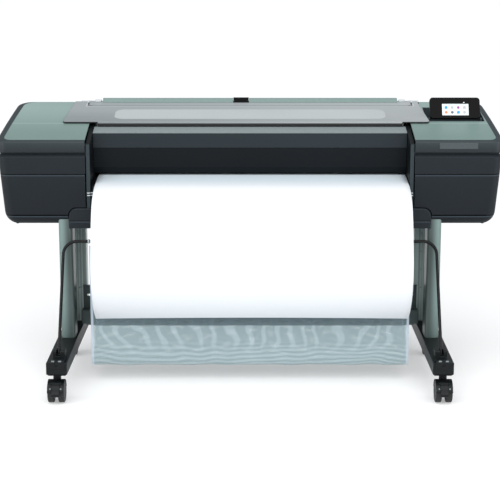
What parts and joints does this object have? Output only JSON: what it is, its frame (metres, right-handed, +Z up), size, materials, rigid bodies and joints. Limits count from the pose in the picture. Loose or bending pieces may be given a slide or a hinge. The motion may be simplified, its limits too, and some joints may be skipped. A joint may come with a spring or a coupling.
{
  "type": "large format plotter",
  "caption": "Wide inkjet plotter on a wheeled stand, with an open-out lid, ink doors, a touch panel, a roll of paper and a hanging mesh basket.",
  "frame": {"origin": "on the floor, at the middle of the footprint", "axes": "+Z up, +Y to the rear, +X to the right of a person facing the machine's front"},
  "size_m": [1.802, 0.73, 1.0138],
  "materials": {
    "housing": "fine-textured slate grey moulding",
    "housing_sage": "satin sage grey moulding",
    "lid": "satin light grey moulding",
    "window": "glossy pale grey",
    "dark_trim": "satin black",
    "cover_grey": "satin mid grey moulding",
    "glass": "glossy touch glass",
    "plate": "plain grey plate",
    "leg_paint": "powder coat, grey green",
    "leg_plastic": "satin grey green moulding",
    "steel": "bright steel",
    "zinc_sheet": "grey painted sheet steel",
    "tube": "gloss black enamel",
    "mesh": "open woven mesh",
    "paper": "matt coated paper",
    "rubber": "matt rubber",
    "wheel": "hard grey tread",
    "nylon": "moulded nylon"
  },
  "bodies": {
    "frame": {"tower_shell_left": "housing", "tower_shell_right": "housing", "tower_cap_left": "housing", "tower_cap_right": "housing", "cap_inset_left": "housing_sage", "cap_inset_right": "housing_sage", "lower_housing": "housing", "inner_wall_left": "housing", "inner_wall_right": "housing", "name_plate": "plate", "base_pan": "zinc_sheet", "rear_panel": "zinc_sheet", "side_frame_left": "zinc_sheet", "side_frame_right": "zinc_sheet", "power_inlet": "dark_trim", "front_cover": "cover_grey", "front_lip": "dark_trim", "output_platen": "dark_trim", "output_paper": "paper", "feed_motor": "steel", "carriage_rail": "steel", "carriage_belt": "rubber", "ink_cartridges": "dark_trim", "cover_hinges": "steel", "foot_left": "nylon", "foot_right": "nylon", "leg_cover_left": "leg_plastic", "leg_cover_right": "leg_plastic", "leg_columns": "leg_paint", "cross_beam": "leg_paint", "cross_panel": "leg_paint", "tube_clips": "nylon", "basket_mesh": "mesh"},
    "lid": {"top_cover": "lid", "window_strip": "window"},
    "roll_lid": {"roll_cover": "lid", "loading_guide": "housing_sage", "cover_latch": "dark_trim"},
    "left_ink_door": {"ink_door_left": "housing"},
    "right_ink_door": {"ink_door_right": "housing"},
    "panel": {"touch_panel": "dark_trim", "touch_screen": "glass"},
    "carriage_unit": {"carriage": "dark_trim", "printheads": "dark_trim"},
    "feed_roller": {"drive_roller": "rubber"},
    "pinion": {"motor_pinion": "steel"},
    "roll": {"spindle": "dark_trim", "paper_roll": "paper"},
    "basket_frame": {"basket_tube": "tube"},
    "left_front_caster": {"front_caster_fork_left": "nylon"},
    "right_front_caster": {"front_caster_fork_right": "nylon"},
    "left_front_wheels": {"front_caster_wheels_left": "wheel"},
    "right_front_wheels": {"front_caster_wheels_right": "wheel"},
    "left_brake": {"caster_brake_left": "nylon"},
    "right_brake": {"caster_brake_right": "nylon"},
    "left_rear_caster": {"rear_caster_fork_left": "steel"},
    "right_rear_caster": {"rear_caster_fork_right": "steel"},
    "left_rear_wheel": {"rear_caster_wheel_left": "wheel"},
    "right_rear_wheel": {"rear_caster_wheel_right": "wheel"},
    "rocker": {"power_switch": "dark_trim"}
  },
  "joints": [
    {"name": "lid_hinge", "type": "hinge", "parent": "frame", "child": "lid", "pos_m": [0, 0.351, 0.977], "axis": [-1, 0, 0], "range_deg": [0, 70]},
    {"name": "roll_cover_hinge", "type": "hinge", "parent": "frame", "child": "roll_lid", "pos_m": [0, 0.355, 0.975], "axis": [-1, 0, 0], "range_deg": [0, 85]},
    {"name": "left_ink_door_hinge", "type": "hinge", "parent": "frame", "child": "left_ink_door", "pos_m": [-0.748, -0.058, 0.621], "axis": [1, 0, 0], "range_deg": [0, 90]},
    {"name": "right_ink_door_hinge", "type": "hinge", "parent": "frame", "child": "right_ink_door", "pos_m": [0.748, -0.058, 0.621], "axis": [1, 0, 0], "range_deg": [0, 90]},
    {"name": "panel_tilt", "type": "hinge", "parent": "frame", "child": "panel", "pos_m": [0.754, 0.146, 0.937], "axis": [1, 0, 0], "range_deg": [-55, 10]},
    {"name": "carriage_slide", "type": "slide", "parent": "frame", "child": "carriage_unit", "axis": [1, 0, 0], "range_m": [-1.19, 0]},
    {"name": "feed_roller_spin", "type": "hinge", "parent": "frame", "child": "feed_roller", "pos_m": [0, 0.185, 0.729], "axis": [1, 0, 0], "continuous": true},
    {"name": "pinion_spin", "type": "hinge", "parent": "frame", "child": "pinion", "pos_m": [-0.6, 0.185, 0.693], "axis": [1, 0, 0], "continuous": true},
    {"name": "roll_spin", "type": "hinge", "parent": "frame", "child": "roll", "pos_m": [0, 0.284, 0.846], "axis": [1, 0, 0], "continuous": true},
    {"name": "basket_frame_swing", "type": "hinge", "parent": "frame", "child": "basket_frame", "pos_m": [0, -0.29, 0.172], "axis": [1, 0, 0], "range_deg": [0, 14]},
    {"name": "rocker_tilt", "type": "hinge", "parent": "frame", "child": "rocker", "pos_m": [0.512, 0.354, 0.66], "axis": [1, 0, 0], "range_deg": [0, 12]},
    {"name": "left_front_swivel", "type": "hinge", "parent": "frame", "child": "left_front_caster", "pos_m": [-0.674, -0.299, 0.1], "axis": [0, 0, 1], "continuous": true},
    {"name": "left_front_wheel_spin", "type": "hinge", "parent": "left_front_caster", "child": "left_front_wheels", "pos_m": [-0.674, -0.317, 0.038], "axis": [1, 0, 0], "continuous": true},
    {"name": "left_brake_pedal", "type": "hinge", "parent": "left_front_caster", "child": "left_brake", "pos_m": [-0.674, -0.3425, 0.074], "axis": [1, 0, 0], "range_deg": [0, 5]},
    {"name": "left_rear_swivel", "type": "hinge", "parent": "frame", "child": "left_rear_caster", "pos_m": [-0.687, 0.262, 0.1], "axis": [0, 0, 1], "continuous": true},
    {"name": "left_rear_wheel_spin", "type": "hinge", "parent": "left_rear_caster", "child": "left_rear_wheel", "pos_m": [-0.687, 0.28, 0.038], "axis": [1, 0, 0], "continuous": true},
    {"name": "right_front_swivel", "type": "hinge", "parent": "frame", "child": "right_front_caster", "pos_m": [0.674, -0.299, 0.1], "axis": [0, 0, 1], "continuous": true},
    {"name": "right_front_wheel_spin", "type": "hinge", "parent": "right_front_caster", "child": "right_front_wheels", "pos_m": [0.674, -0.317, 0.038], "axis": [1, 0, 0], "continuous": true},
    {"name": "right_brake_pedal", "type": "hinge", "parent": "right_front_caster", "child": "right_brake", "pos_m": [0.674, -0.3425, 0.074], "axis": [1, 0, 0], "range_deg": [0, 5]},
    {"name": "right_rear_swivel", "type": "hinge", "parent": "frame", "child": "right_rear_caster", "pos_m": [0.687, 0.262, 0.1], "axis": [0, 0, 1], "continuous": true},
    {"name": "right_rear_wheel_spin", "type": "hinge", "parent": "right_rear_caster", "child": "right_rear_wheel", "pos_m": [0.687, 0.28, 0.038], "axis": [1, 0, 0], "continuous": true}
  ],
  "couplings": [
    {"joint": "pinion_spin", "follows": "feed_roller_spin", "ratio": -3}
  ]
}
